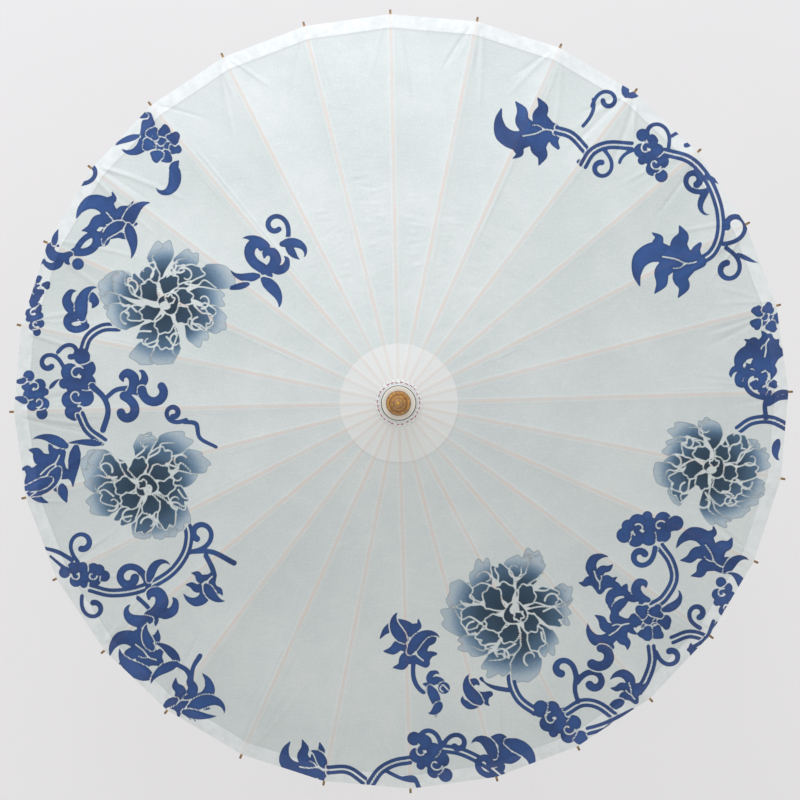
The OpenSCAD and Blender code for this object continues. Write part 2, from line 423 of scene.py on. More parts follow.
def blob(x, y, r, halo=0.0):
    idx = near_to(np.array([[x, y]]), r + FAR)
    if len(idx):
        lay(idx, np.hypot(gx[idx] - x, gy[idx] - y) - r, halo)


def turned(x, y, heading, size, flip, pts):
    """Local points, x along the heading and y to its left, in units of size."""
    h = math.radians(heading)
    p = np.array(pts, float) * size
    p[:, 1] *= flip
    return np.stack([x + p[:, 0] * math.cos(h) - p[:, 1] * math.sin(h),
                     y - p[:, 0] * math.sin(h) - p[:, 1] * math.cos(h)], 1)


def cloud(x, y, heading, size, flip=1):
    """A knot of round lobes with two pale spirals."""
    at = lambda pts: turned(x, y, heading, size, flip, pts)
    for (a, b, r) in [(-0.78, 0.26, 0.24), (-0.42, 0.36, 0.27), (0.0, 0.34, 0.25), (0.42, 0.22, 0.27),
                      (-0.36, -0.14, 0.27), (0.06, -0.04, 0.26), (0.44, -0.22, 0.26), (0.84, -0.12, 0.24), (-0.05, -0.34, 0.16)]:
        p = at([(a, b)])[0]
        blob(p[0], p[1], r * size)
    for (a, b, s) in [(-0.30, 0.06, 1), (0.34, -0.02, -1)]:
        th = np.linspace(0, 5.2, 26)
        rad = 0.24 - 0.036 * th
        cut(at(np.stack([a + rad * np.cos(th * s + (2.2 if s > 0 else 0.4)), b + rad * np.sin(th * s + (2.2 if s > 0 else 0.4))], 1)), 0.75, 2)
    for (a, b, c, d) in [(-0.62, 0.5, -0.55, 0.12), (0.2, 0.5, 0.2, 0.16), (0.66, 0.1, 0.62, -0.3)]:
        cut(at([(a, b), ((a + c) / 2 + 0.03, (b + d) / 2), (c, d)]), 0.6, 6)


def horn(x, y, heading, size, flip, pts, w, halo=0.0):
    """A tapered stroke through local points."""
    brush(curve(turned(x, y, heading, size, flip, pts), 9), [v * size for v in w], halo)


def leaf(x, y, heading, size, flip=1, lobes=5):
    """A flame-edged leaf on a stalk at (x, y): a front lobe that curls over, and hooked lobes on both sides."""
    h = lambda pts, w: horn(x, y, heading, size, flip, pts, w)
    h([(0.02, 0.0), (0.25, 0.0), (0.52, -0.03)], [0.09, 0.19, 0.13])
    h([(0.40, -0.04), (0.70, -0.13), (0.92, -0.02), (0.98, 0.20), (0.93, 0.40)], [0.13, 0.155, 0.13, 0.07, 0.010])
    h([(0.46, 0.03), (0.60, 0.17), (0.60, 0.34), (0.70, 0.50)], [0.13, 0.115, 0.085, 0.010])
    h([(0.22, 0.06), (0.32, 0.24), (0.26, 0.38), (0.34, 0.55)], [0.14, 0.12, 0.085, 0.010])
    if lobes > 3:
        h([(0.30, -0.08), (0.36, -0.25), (0.30, -0.38), (0.36, -0.54)], [0.14, 0.13, 0.085, 0.010])
    if lobes > 4:
        h([(0.58, -0.10), (0.68, -0.24), (0.66, -0.34), (0.78, -0.42)], [0.11, 0.09, 0.055, 0.008])
        h([(0.08, -0.02), (0.10, -0.16), (0.04, -0.27)], [0.10, 0.07, 0.030])
    cut(turned(x, y, heading, size, flip, [(0.08, 0.0), (0.24, 0.03), (0.40, -0.03), (0.60, -0.06)]), 0.75)
    cut(turned(x, y, heading, size, flip, [(0.24, 0.03), (0.34, 0.10), (0.44, 0.11)]), 0.6)


def hook(x, y, heading, size, flip=1):
    """A thick double scroll that curls back at both ends."""
    h = lambda pts, w, halo=0.0: horn(x, y, heading, size, flip, pts, w, halo)
    h([(0.0, 0.0), (0.28, -0.03), (0.52, 0.10), (0.56, 0.34), (0.38, 0.44), (0.27, 0.33)], [0.09, 0.15, 0.17, 0.14, 0.10, 0.03], 1.2)
    h([(0.26, -0.02), (0.44, -0.20), (0.66, -0.22), (0.82, -0.06), (0.80, 0.08)], [0.10, 0.13, 0.12, 0.07, 0.012])
    h([(0.10, -0.02), (0.16, -0.20), (0.08, -0.34)], [0.09, 0.08, 0.012])


def patches(x, y, size, seed, n=9, squash=0.8, turn=0.0):
    """A little blossom of rounded patches."""
    g = np.random.default_rng(seed)
    for k in range(n):
        ring = 0 if k < 3 else 1
        a = (k * 2.0944 if ring == 0 else (k - 3) * 2 * math.pi / (n - 3)) + g.normal(scale=0.12)
        rad = size * (0.26 if ring == 0 else 0.72)
        px, py = rad * math.cos(a), rad * math.sin(a) * squash
        cx, cy = x + px * math.cos(turn) - py * math.sin(turn), y + px * math.sin(turn) + py * math.cos(turn)
        m = 18
        th = np.linspace(0, 2 * math.pi, m, endpoint=False)
        rr_ = size * (0.30 if ring == 0 else 0.34) * (1 + 0.16 * np.cos(3 * th + g.uniform(0, 6)) + 0.07 * g.normal(size=m))
        poly = np.stack([cx + rr_ * np.cos(th), cy + rr_ * np.sin(th)], 1)
        idx = near_to(poly, FAR)
        if len(idx):
            lay(idx, poly_dist(idx, poly), 1.1)


def petal(cx, cy, R, a0, half, r0, r1, lobes, swirl, dark, pale, seed, amp=0.055, hold=1.0):
    g = np.random.default_rng(seed)
    u = np.linspace(-1, 1, 40)
    ph = g.uniform(0, 6)
    rad = R * (r1 * (1 - 0.20 * u**2 + g.normal(scale=0.02)) + amp * np.abs(np.sin(lobes * math.pi * (u + 1) / 2 + 0.0)) + 0.018 * np.sin(9 * u + ph))
    ang = a0 + half * u
    side = np.linspace(1, 0, 12)[1:]
    # the sides draw in to the base with an S bend
    rs = R * (r0 + (r1 * 0.80 - r0) * side)
    bow = 1 - (1 - side) ** 1.6
    right = a0 + half * bow * (1 + 0.10 * np.sin(side * 5))
    left = a0 - half * bow * (1 - 0.10 * np.sin(side * 5))
    rad = np.concatenate([rad, rs, rs[::-1]])
    ang = np.concatenate([ang, right, left[::-1]])
    ang = ang + swirl * (rad / R)
    poly = np.stack([cx + rad * np.cos(ang), cy - rad * np.sin(ang)], 1)
    idx = near_to(poly, 4)
    if not len(idx):
        return
    sd = poly_dist(idx, poly)
    PET[idx] = np.maximum(PET[idx], 1.25 - sd)
    PET[idx] = np.minimum(PET[idx], sd)
    dist = np.hypot(gx[idx] - cx, gy[idx] - cy) / R
    t = smooth(r0 * 0.9, r1 * 1.02, dist) ** hold
    tone = dark + (pale - dark) * t
    hit = sd < 0.9
    TONE[idx[hit]] = tone[hit]


def pale_line(points, w=0.75):
    line = curve(points, 12)
    idx = near_to(line, w + 3)
    if len(idx):
        sd = seg_dist(idx, line, np.linspace(w, w * 0.55, len(line)))
        PET[idx] = np.maximum(PET[idx], -sd)


def peony(cx, cy, R, seed):
    g = np.random.default_rng(seed)
    base, turn = g.uniform(0, 6), g.choice([-1, 1])

    def swirl(lo, hi):
        return turn * g.uniform(lo, hi) * (1 if g.random() > 0.22 else -0.6)

    # outer petals, pale only at their tips
    n = 13
    for k in range(n):
        a = base + k * 2 * math.pi / n + g.normal(scale=0.05)
        petal(cx, cy, R, a, 0.275 + g.normal(scale=0.025), 0.20, 0.95 + g.normal(scale=0.06), int(g.integers(2, 4)),
              swirl(0.25, 0.75), 0.98, 0.16, seed * 31 + k, 0.06, 1.7)
    # the next round, darker
    n = 9
    for k in range(n):
        a = base + 0.3 + k * 2 * math.pi / n + g.normal(scale=0.06)
        petal(cx, cy, R, a, 0.29 + g.normal(scale=0.03), 0.14, 0.70 + g.normal(scale=0.05), 2,
              swirl(0.3, 0.9), 1.0, 0.55, seed * 57 + k, 0.05, 1.6)
    n = 6
    for k in range(n):
        a = base + 0.1 + k * 2 * math.pi / n + g.normal(scale=0.07)
        petal(cx, cy, R, a, 0.44, 0.05, 0.44 + g.normal(scale=0.03), 1, swirl(0.4, 1.0), 1.0, 0.80, seed * 91 + k, 0.03, 1.4)
    petal(cx + 0.03 * R, cy, R, base, math.pi * 0.92, 0.02, 0.17, 1, 0.0, 1.0, 1.0, seed, 0.02, 1.0)
    petal(cx + 0.03 * R, cy, R, base + 0.6, 0.8, -0.04, 0.12, 1, 0.5, 1.0, 1.0, seed, 0.02, 1.0)
    # pale hooks at the ends of some petals
    for k in range(9):
        a = base + 0.2 + k * 2 * math.pi / 9 + g.normal(scale=0.1)
        rc = g.uniform(0.52, 0.76) * R
        px_, py_ = cx + rc * math.cos(a), cy - rc * math.sin(a)
        sgn, a1 = g.choice([-1, 1]), g.uniform(0, 6)
        tt = np.linspace(0, 4.2, 16)
        rad = R * (0.135 - 0.022 * tt)
        pale_line(np.stack([px_ + rad * np.cos(a1 + sgn * tt), py_ - rad * np.sin(a1 + sgn * tt)], 1), 0.9)
    # pale veins that run out through the petals
    for k in range(9):
        a = base + 0.15 + k * 2 * math.pi / 9 + g.normal(scale=0.08)
        s = swirl(0.25, 0.55)
        r_a, r_b = g.uniform(0.44, 0.54) * R, g.uniform(0.78, 0.94) * R
        pts = []
        for f in (0.0, 0.35, 0.7, 1.0):
            r_ = r_a + (r_b - r_a) * f
            w_ = a + s * (f + 0.22 * math.sin(math.pi * 2 * f))
            pts.append((cx + r_ * math.cos(w_), cy - r_ * math.sin(w_)))
        pale_line(pts, 0.85)


# ---- where the motifs lie
def print_upper_right():
    leaf(560, 131, 182, 62, -1)
    vine([(556, 130), (571, 135), (583, 147), (589, 156), (580, 164)])
    vine([(583, 166), (592, 152), (608, 145), (632, 146)])
    curl(604, 150, -48, 56, -330, 1.9, 3.2)
    curl(634, 150, 200, 20, 60, 1.7, 1.8)
    vine([(664, 152), (690, 160), (708, 180), (719, 208), (720, 234), (711, 254), (693, 263)])
    cloud(650, 156, -52, 27)
    curl(668, 150, 78, 60, 300, 1.9, 3.0)
    curl(672, 136, 34, 34, -220, 1.8, 2.6)
    comma(706, 176, -28, 18, 0, 2.6, 0, 0.8, 0.4)
    curl(709, 190, 196, 58, -360, 2.6, 4.0)
    comma(708, 190, 232, 34, 130, 3.4, 0)
    leaf(702, 262, 178, 66, 1)
    curl(723, 244, 8, 62, 290, 2.2, 3.6)
    curl(726, 248, -34, 66, -330, 2.2, 3.6)
    comma(738, 254, -28, 24, 14, 2.4, 0)
    curl(583, 126, 48, 30, 60, 1.8, 1.8)
    curl(592, 106, 70, 54, -350, 1.9, 2.8)
    comma(626, 96, 100, 20, -110, 4.0)
    comma(628, 96, 10, 20, 60, 3.4, 0)
    comma(722, 181, -60, 8, 0, 1.6, 0)


def print_right():
    patches(766, 318, 17, 4, 8)
    leaf(782, 352, 190, 46, 1)
    leaf(770, 336, 250, 36, -1)
    hook(752, 372, 190, 26, 1)
    patches(764, 384, 13, 9, 7)
    curl(764, 398, 168, 62, -360, 2.4, 3.8)
    curl(768, 404, 60, 30, -120, 2.4, 2.6)
    vine([(738, 430), (752, 421), (772, 420), (792, 430)])
    stroke([(766, 418), (765, 404), (770, 392)], [2.4, 2.4, 2.0], 0)
    stroke([(770, 404), (780, 398), (794, 397)], [1.8, 2.4, 2.6], 0)
    comma(778, 441, 250, 22, 70, 4.2)
    # cloud head with its stem
    cloud(649, 527, 0, 32, -1)
    blob(628, 526, 6.5); blob(671, 525, 6.5)
    vine([(660, 546), (671, 562), (674, 580), (664, 598), (652, 606)])
    curl(655, 548, 262, 52, -330, 2.6, 4.0, 1.2)
    leaf(724, 570, 132, 52, 1)
    comma(726, 572, 60, 30, -90, 5.0)
    leaf(600, 592, 100, 36, -1, 4)
    hook(628, 594, 170, 30, 1)
    comma(626, 600, 215, 34, 150, 5.0)
    hook(648, 600, 150, 30, -1)
    patches(650, 622, 21, 12, 9)
    leaf(632, 622, 205, 44, -1)
    comma(664, 610, 20, 30, 100, 4.4)
    vine([(651, 646), (652, 662), (646, 680), (638, 692)])
    curl(656, 652, -66, 44, 280, 2.2, 3.6)
    leaf(636, 702, 116, 34, 1, 4)
    comma(622, 702, 200, 20, 80, 5.0)
    # the rim further round
    vine([(672, 640), (690, 634), (708, 640), (722, 655)])
    cloud(724, 600, -62, 22)
    vine([(716, 622), (708, 640), (690, 652)])
    leaf(690, 668, 30, 40, 1)
    curl(700, 628, 150, 46, -320, 2.2, 3.4)
    comma(744, 590, 110, 26, 70, 4.4)
    comma(712, 676, 320, 24, 60, 4.2)
    comma(768, 528, 250, 14, 30, 3.0)


def print_lower_right():
    vine([(511, 666), (512, 684), (520, 700), (536, 712)])
    comma(508, 690, 172, 30, -40, 2.4, 0, 1.0, 2.0)
    hook(490, 694, 190, 34, -1)
    comma(480, 702, 140, 34, -80, 6.2)
    cloud(559, 724, -24, 30)
    blob(540, 712, 5.5); blob(582, 738, 5.5)
    vine([(566, 712), (582, 703), (598, 705), (614, 716)])
    vine([(588, 731), (602, 727), (618, 720), (634, 712)])
    stroke([(578, 702), (575, 690), (576, 676)], [2.2, 2.4, 2.4], 0)
    curl(576, 676, 100, 42, 260, 2.8, 4.4)
    curl(577, 682, 52, 50, -300, 3.0, 4.6)
    curl(592, 664, 330, 36, 215, 5.0, 4.4, 1.2, 1.2)
    # tulip leaf and the sprig under it
    leaf(426, 664, 128, 52, 1)
    comma(410, 652, 62, 40, -100, 5.6)
    comma(404, 640, 132, 32, -80, 6.0)
    curl(414, 660, 262, 36, 70, 2.3, 2.3)
    hook(428, 690, 60, 24, -1)
    blob(444, 688, 6.0, 1.2)
    cut([(448, 690), (443, 685), (440, 689), (443, 692)], 0.7)
    comma(430, 688, -62, 32, -50, 5.4)
    comma(440, 704, 240, 16, -60, 4.6)


def print_bottom():
    leaf(328, 772, 164, 48, -1)
    comma(324, 766, 110, 22, 60, 5.0)
    vine([(328, 770), (348, 770), (366, 782)])
    vine([(370, 785), (380, 771), (394, 763), (410, 760)])
    curl(388, 772, -28, 30, 30, 1.9, 2.0)
    stroke([(404, 778), (414, 778), (419, 788)], [2.0, 2.2, 2.4], 0)
    vine([(440, 748), (462, 752), (486, 764), (504, 778)])
    cloud(428, 758, -36, 29)
    curl(441, 747, 100, 48, 300, 2.3, 3.4)
    curl(443, 745, 58, 44, -300, 2.3, 3.4)
    hook(492, 764, 40, 40, 1)
    comma(508, 742, -20, 46, -110, 7.0)
    comma(494, 756, 110, 34, 120, 6.0)
    curl(492, 776, 170, 40, -280, 3.0, 4.2)


def print_lower_left():
    vine([(185, 519), (189, 536), (184, 556), (168, 575), (140, 589), (112, 593), (90, 588)])
    curl(190, 552, 10, 66, 330, 2.4, 3.6)
    stroke([(192, 552), (212, 552), (234, 563)], [2.0, 2.6, 2.8], 0)
    curl(206, 556, -60, 22, -20, 2.6, 2.6)
    leaf(214, 574, 236, 36, -1, 4)
    comma(206, 586, -60, 26, 60, 5.0)
    curl(148, 585, 108, 66, 350, 3.4, 4.8)
    comma(149, 580, 76, 34, -120, 4.6)
    cloud(84, 576, 8, 24)
    blob(99, 570, 5.8)
    curl(78, 562, 128, 60, -330, 2.0, 3.6)
    stroke([(44, 548), (58, 552), (72, 560)], [1.6, 2.2, 2.2], 0)
    stroke([(50, 556), (62, 566), (72, 572)], [1.2, 1.8, 1.8], 0)
    curl(82, 596, -96, 50, 300, 2.0, 3.2)
    curl(138, 598, -40, 26, -30, 2.2, 2.8)
    hook(146, 616, 30, 40, 1)
    comma(150, 620, 190, 38, -150, 6.2)
    # rim leaves
    leaf(160, 662, 150, 50, 1)
    comma(150, 676, 160, 44, -60, 8.0)
    comma(152, 648, 120, 26, -50, 5.2)
    comma(178, 660, 130, 30, 40, 4.6)
    comma(176, 664, 200, 34, 50, 5.0)
    stroke([(176, 664), (188, 672), (192, 690)], [2.2, 2.6, 2.2], 0)
    stroke([(191, 684), (193, 668), (200, 656)], [2.2, 2.2, 2.6], 0)
    leaf(172, 706, 24, 44, 1)
    comma(190, 708, 30, 44, -110, 6.4)
    comma(184, 712, -14, 34, 20, 4.6)
    comma(176, 700, 200, 18, 60, 4.2)


def print_left():
    vine([(119, 327), (102, 328), (88, 338), (82, 356)])
    hook(84, 322, 110, 40, -1)
    comma(82, 318, 96, 40, -90, 6.6)
    curl(86, 326, 210, 34, -230, 3.6, 5.0)
    curl(63, 366, 118, 44, 300, 2.1, 3.2)
    curl(58, 352, 50, 34, -250, 2.1, 3.2)
    cloud(76, 384, -84, 34)
    blob(72, 412, 7.5)
    cloud(37, 394, -84, 24, -1)
    comma(26, 402, 150, 14, 40, 3.4)
    comma(25, 380, 200, 12, -60, 3.0)
    comma(50, 388, 50, 14, -20, 2.2, 0)
    stroke([(92, 386), (104, 398), (108, 412), (103, 430)], [3.2, 2.8, 2.8, 3.0], 1.0)
    stroke([(106, 398), (116, 390), (128, 388)], [2.2, 2.4, 2.6], 0)
    hook(128, 394, 60, 32, 1)
    curl(124, 396, -30, 40, -240, 4.6, 4.8)
    curl(142, 390, 280, 40, 215, 4.6, 4.4, 1.0, 1.2)
    vine([(80, 414), (88, 430), (104, 442)])
    comma(100, 444, 172, 34, 20, 3.4, 0.8)
    comma(76, 448, 262, 40, 10, 6.2)
    leaf(62, 452, 232, 52, 1)
    comma(66, 446, 150, 36, 50, 5.0)
    comma(58, 470, 240, 38, -40, 6.4)
    comma(50, 480, 205, 34, -30, 5.4)
    comma(62, 486, 280, 18, 20, 5.0)
    curl(186, 420, 200, 50, -400, 2.2, 3.2)
    stroke([(184, 422), (196, 424), (200, 438), (216, 447)], [2.0, 2.4, 2.0, 1.8], 0)


def print_upper_left():
    comma(148, 116, -88, 56, -120, 7.6)
    comma(146, 116, 160, 26, 60, 4.2)
    comma(138, 136, 196, 28, 20, 3.4)
    patches(162, 144, 19, 21, 10, 0.95, 0.4)
    comma(174, 166, -82, 42, -140, 6.4)
    comma(172, 170, 60, 12, -20, 4.4, 0)
    curl(81, 184, 10, 38, 250, 2.2, 2.8)
    comma(80, 184, 240, 20, 10, 1.8, 0)
    leaf(128, 236, 138, 54, 1)
    comma(126, 226, 66, 36, -60, 6.6)
    comma(128, 226, -70, 34, -40, 5.6)
    comma(122, 224, 206, 30, 60, 5.6)
    curl(76, 250, 60, 36, -100, 3.0, 2.8)
    curl(74, 252, -6, 40, 170, 4.0, 4.2)
    hook(70, 254, 196, 32, -1)
    blob(78, 264, 6.0, 1.1)
    comma(54, 244, 80, 16, -20, 3.2)
    comma(39, 266, 75, 16, 10, 1.6, 0)
    patches(38, 286, 12, 33, 7)
    hook(34, 310, 100, 26, 1)
    cloud(34, 318, -70, 17)
    # sprig nearer the middle
    curl(288, 238, 84, 56, 330, 2.4, 3.0)
    comma(270, 254, 128, 34, 60, 6.0)
    blob(273, 252, 5.4, 1.1)
    comma(282, 244, 10, 34, -120, 5.0)
    comma(288, 246, 300, 18, 30, 4.2, 0)
    hook(262, 272, 30, 34, 1)
    comma(258, 276, 190, 30, -60, 4.6)
    curl(262, 268, 150, 44, -220, 5.2, 5.0)
    comma(264, 280, -40, 34, -60, 6.2)
    comma(248, 284, 196, 26, -20, 3.4)


for area in (print_upper_right, print_right, print_lower_right, print_bottom, print_lower_left, print_left, print_upper_left):
    area()
for cx, cy, R, seed in ((166, 304, 62, 3), (145, 487, 62, 8), (513, 612, 66, 5), (712, 468, 56, 11)):
    # the flower lies over the scrolls
    idx = near_to(np.array([[cx - R, cy - R], [cx + R, cy + R]]), 2)
    d = np.hypot(gx[idx] - cx, gy[idx] - cy)
    peony(cx, cy, R, seed)
    INK[idx] = np.maximum(INK[idx], 1.2 - PET[idx])
INK, PET, TONE = (a.reshape(GX.shape) for a in (INK, PET, TONE))
INK = np.clip(INK, -FAR, FAR)
PET = np.clip(PET, -FAR, FAR)


# ------------------------------------------------------------------ materials
def paper_material(name, backside=False, cap=False):
    m = Tree(name)
    co = m.coord()
    fib = m.noise(m.mapping(co, (1, 1, 1)), 900.0, 4.0, 0.65)
    fib2 = m.noise(m.mapping(co, (60, 900, 60), (0, 0, 0.6)), 1.0, 3.0, 0.6, 0.6)
    fib3 = m.noise(m.mapping(co, (700, 50, 60), (0, 0, -0.3)), 1.0, 3.0, 0.6, 0.6)
    cloudy = m.noise(m.mapping(co, (1, 1, 1)), 9.0, 4.0, 0.6)
    blot = m.noise(m.mapping(co, (1, 1, 1)), 55.0, 3.0, 0.6)
    base = m.mix(m.ramp(cloudy, 0.30, 0.70), rgb(206, 213, 211), rgb(218, 223, 221))
    base = m.mix(m.ramp(blot, 0.35, 0.75, 0.0, 0.30), base, rgb(200, 210, 208))
    base = m.mix(m.ramp(fib2, 0.52, 0.72, 0.0, 0.26), base, rgb(234, 237, 235))
    base = m.mix(m.ramp(fib3, 0.55, 0.75, 0.0, 0.20), base, rgb(188, 199, 198))
    base = m.mix(m.ramp(fib, 0.40, 0.68, 0.0, 0.26), base, rgb(184, 195, 194))
    base = m.mix(m.ramp(m.noise(m.mapping(co, (1, 1, 1)), 620.0, 2.0, 0.7), 0.50, 0.72, 0.0, 0.35), base, rgb(234, 238, 237))
    if cap:
        base = m.mix(0.62, base, rgb(233, 233, 230))
    # ribs that show through, faint and broken up: the rib's colour seen through the paper and the shade it makes in
    # the light passing through, painted as a stripe
    yr = m.attr("yrib")
    soft = m.math("ADD", yr, m.math("MULTIPLY", m.math("SUBTRACT", m.noise(co, 160.0, 2.0), 0.5), 1.3))
    stripe = m.ramp(soft, 0.95, 2.35, 1.0, 0.0)
    stripe = m.math("MULTIPLY", stripe, m.ramp(m.noise(co, 34.0, 3.0), 0.25, 0.75, 0.30, 0.78))
    stripe = m.math("MULTIPLY", stripe, m.attr("ribvis"))
    base = m.mix(stripe, base, rgb(224, 207, 197))
    # painted highlight: a thin pale band along each side of the rib stripe
    painted_rib_highlight = m.math("MULTIPLY", m.ramp(soft, 1.9, 2.6), m.ramp(soft, 2.6, 4.0, 0.30, 0.0))
    base = m.mix(m.math("MULTIPLY", painted_rib_highlight, m.attr("ribvis")), base, rgb(236, 238, 236))
    # the folded hem: a lighter band of doubled paper, with a painted shadow line along its fold
    rr = m.attr("ridge")
    hem = m.ramp(rr, 399.6, 400.8)
    hstreak = m.ramp(m.noise(m.mapping(m.coord(), (30, 30, 30)), 3.0, 3.0, 0.6), 0.3, 0.7, 0.40, 0.85)
    base = m.mix(m.math("MULTIPLY", hem, hstreak), base, rgb(236, 239, 239))
    # painted shadow: a thin darker line at the inner edge of the fold
    line = m.math("MULTIPLY", m.ramp(rr, 397.6, 399.8), m.ramp(rr, 400.0, 401.2, 1.0, 0.0))
    base = m.mix(m.math("MULTIPLY", line, 0.12), base, rgb(150, 160, 164))
    if not cap:
        # peonies
        pet, tone = m.attr("pet"), m.attr("tone")
        inside = m.ramp(pet, -0.55, 0.35, 1.0, 0.0)
        grain = m.math("MULTIPLY", m.math("SUBTRACT", m.noise(co, 420.0, 3.0, 0.7), 0.5), 0.22)
        tn = m.math("ADD", tone, grain, clamp=True)
        cr = m.node("ShaderNodeValToRGB")
        m.put(cr.inputs[0], tn)
        e = cr.color_ramp.elements
        e[0].position, e[0].color = 0.0, rgb(186, 200, 208)
        e[1].position, e[1].color = 1.0, rgb(30, 52, 70)
        for pos, col in ((0.25, rgb(132, 156, 176)), (0.5, rgb(78, 106, 132)), (0.78, rgb(44, 70, 92))):
            x = e.new(pos)
            x.color = col
        petal_fac = m.math("MULTIPLY", inside, m.ramp(tone, 0.02, 0.35, 0.45, 0.98))
        base = m.mix(petal_fac, base, cr.outputs[0])
        # thin outline of the pale outer petals
        edge = m.math("MULTIPLY", m.ramp(m.math("ABSOLUTE", pet), 0.15, 0.75, 1.0, 0.0), m.ramp(tone, 0.02, 0.08))
        edge = m.math("MULTIPLY", edge, m.ramp(tone, 0.30, 0.50, 0.55, 0.0))
        base = m.mix(edge, base, rgb(108, 126, 140))
        # cobalt line work
        ink = m.attr("ink")
        wob = m.math("MULTIPLY", m.math("SUBTRACT", m.noise(co, 700.0, 2.0), 0.5), 0.5)
        inked = m.ramp(m.math("ADD", ink, wob), -0.35, 0.35, 1.0, 0.0)
        depth = m.ramp(ink, -3.4, -0.3)
        blue = m.mix(m.ramp(m.noise(co, 26.0, 4.0, 0.6), 0.3, 0.7), rgb(12, 52, 110), rgb(34, 78, 142))
        blue = m.mix(m.math("MULTIPLY", depth, 0.35), blue, rgb(4, 36, 84))
        blue = m.mix(m.ramp(fib2, 0.50, 0.75, 0.0, 0.20), blue, rgb(50, 92, 150))
        blue = m.mix(m.ramp(m.noise(co, 1100.0, 2.0), 0.55, 0.8, 0.0, 0.22), blue, rgb(58, 98, 154))
        blue = m.mix(m.math("MULTIPLY", hem, 0.14), blue, rgb(86, 106, 166))
        # the painted see-through of the ribs tints the ink too
        blue = m.mix(m.math("MULTIPLY", stripe, 0.18), blue, rgb(96, 84, 110))
        base = m.mix(m.math("MULTIPLY", inked, 0.96), base, blue)
    if backside:
        base = m.mix(0.40, base, rgb(204, 198, 178))
    h = m.math("ADD", m.math("MULTIPLY", fib, 0.5), m.math("ADD", m.math("MULTIPLY", fib2, 0.7), m.math("MULTIPLY", fib3, 0.5)))
    rough = m.ramp(m.noise(co, 120.0, 3.0), 0.3, 0.7, 0.42, 0.58)
    m.set(Base_Color=base, Roughness=rough, Normal=m.bump(h, 0.35, 0.00022))
    if cap:
        m.bsdf.inputs["Specular IOR Level"].default_value = 0.35
    else:
        m.put(m.bsdf.inputs["Specular IOR Level"], m.ramp(m.math("MINIMUM", m.attr("ink"), m.attr("pet")), -0.35, 0.35, 0.16, 0.35))
    m.bsdf.inputs["Coat Weight"].default_value = 0.05
    m.bsdf.inputs["Coat Roughness"].default_value = 0.35
    return m.mat


PAPER = paper_material("oiled_paper")
PAPER_UNDER = paper_material("oiled_paper_under", backside=True)
PAPER_CAP = paper_material("cap_paper", cap=True)


def wood_material(name, dark, light, vein, scale=(30, 30, 4), rough=(0.32, 0.5), coat=0.0, radial=False):
    m = Tree(name)
    co = m.coord()
    v = m.mapping(co, scale)
    g = m.noise(v, 6.0, 5.0, 0.6, 0.4)
    fine = m.noise(m.mapping(co, tuple(s * 14 for s in scale)), 6.0, 3.0, 0.6)
    base = m.mix(m.ramp(g, 0.30, 0.72), dark, light)
    base = m.mix(m.ramp(fine, 0.50, 0.72, 0.0, 0.45), base, vein)
    h = m.math("ADD", m.math("MULTIPLY", g, 0.6), fine)
    m.set(Base_Color=base, Roughness=m.ramp(fine, 0.3, 0.7, rough[0], rough[1]), Normal=m.bump(h, 0.25, 0.0002))
    if coat:
        m.bsdf.inputs["Coat Weight"].default_value = coat
        m.bsdf.inputs["Coat Roughness"].default_value = 0.12
    return m


def bamboo_material(name, z_pin):
    """Split bamboo: long fibres, a few nodes, a dark pin at the mid pivot and a dark tip."""
    m = Tree(name)
    co = m.coord()
    sep = m.node("ShaderNodeSeparateXYZ")
    m.put(sep.inputs[0], co)
    R = m.math("SQRT", m.math("ADD", m.math("MULTIPLY", sep.outputs[0], sep.outputs[0]), m.math("MULTIPLY", sep.outputs[1], sep.outputs[1])))
    info = m.node("ShaderNodeObjectInfo").outputs["Random"]
    comb = m.node("ShaderNodeCombineXYZ")
    ang = m.math("ARCTAN2", sep.outputs[1], sep.outputs[0])
    m.put(comb.inputs[0], m.math("MULTIPLY", R, 8.0))
    m.put(comb.inputs[1], m.math("MULTIPLY", m.math("MULTIPLY", ang, R), 900.0))
    m.put(comb.inputs[2], m.math("ADD", m.math("MULTIPLY", sep.outputs[2], 40.0), m.math("MULTIPLY", info, 37.0)))
    fibre = m.noise(comb.outputs[0], 2.0, 4.0, 0.65, 0.2)
    streak = m.noise(m.mapping(comb.outputs[0], (0.35, 0.5, 1)), 2.0, 3.0, 0.6)
    base = m.mix(m.ramp(fibre, 0.32, 0.70), rgb(158, 118, 66), rgb(206, 170, 112))
    base = m.mix(m.ramp(streak, 0.45, 0.75, 0.0, 0.55), base, rgb(222, 192, 140))
    base = m.mix(m.ramp(fibre, 0.60, 0.80, 0.0, 0.5), base, rgb(120, 84, 44))
    # growth rings of the bamboo
    for pos in (0.118, 0.292):
        band = m.ramp(m.math("ABSOLUTE", m.math("SUBTRACT", R, m.math("ADD", pos, m.math("MULTIPLY", info, 0.018)))), 0.0004, 0.0019, 1.0, 0.0)
        base = m.mix(m.math("MULTIPLY", band, 0.55), base, rgb(112, 78, 40))
    pin = m.math("SQRT", m.math("ADD", m.math("POWER", m.math("SUBTRACT", R, 0.19823), 2.0),
                                m.math("POWER", m.math("SUBTRACT", sep.outputs[2], z_pin), 2.0)))
    base = m.mix(m.ramp(pin, 0.00044, 0.00056, 1.0, 0.0), base, rgb(60, 36, 20))
    base = m.mix(m.ramp(R, 0.4140, 0.4190, 0.0, 0.80), base, rgb(104, 78, 50))
    h = m.math("ADD", fibre, m.math("MULTIPLY", streak, 0.4))
    m.set(Base_Color=base, Roughness=m.ramp(fibre, 0.3, 0.7, 0.38, 0.55), Normal=m.bump(h, 0.4, 0.00018))
    return m.mat


BAMBOO = bamboo_material("split_bamboo", (HUB_Z - LINK * SIN) * MM)


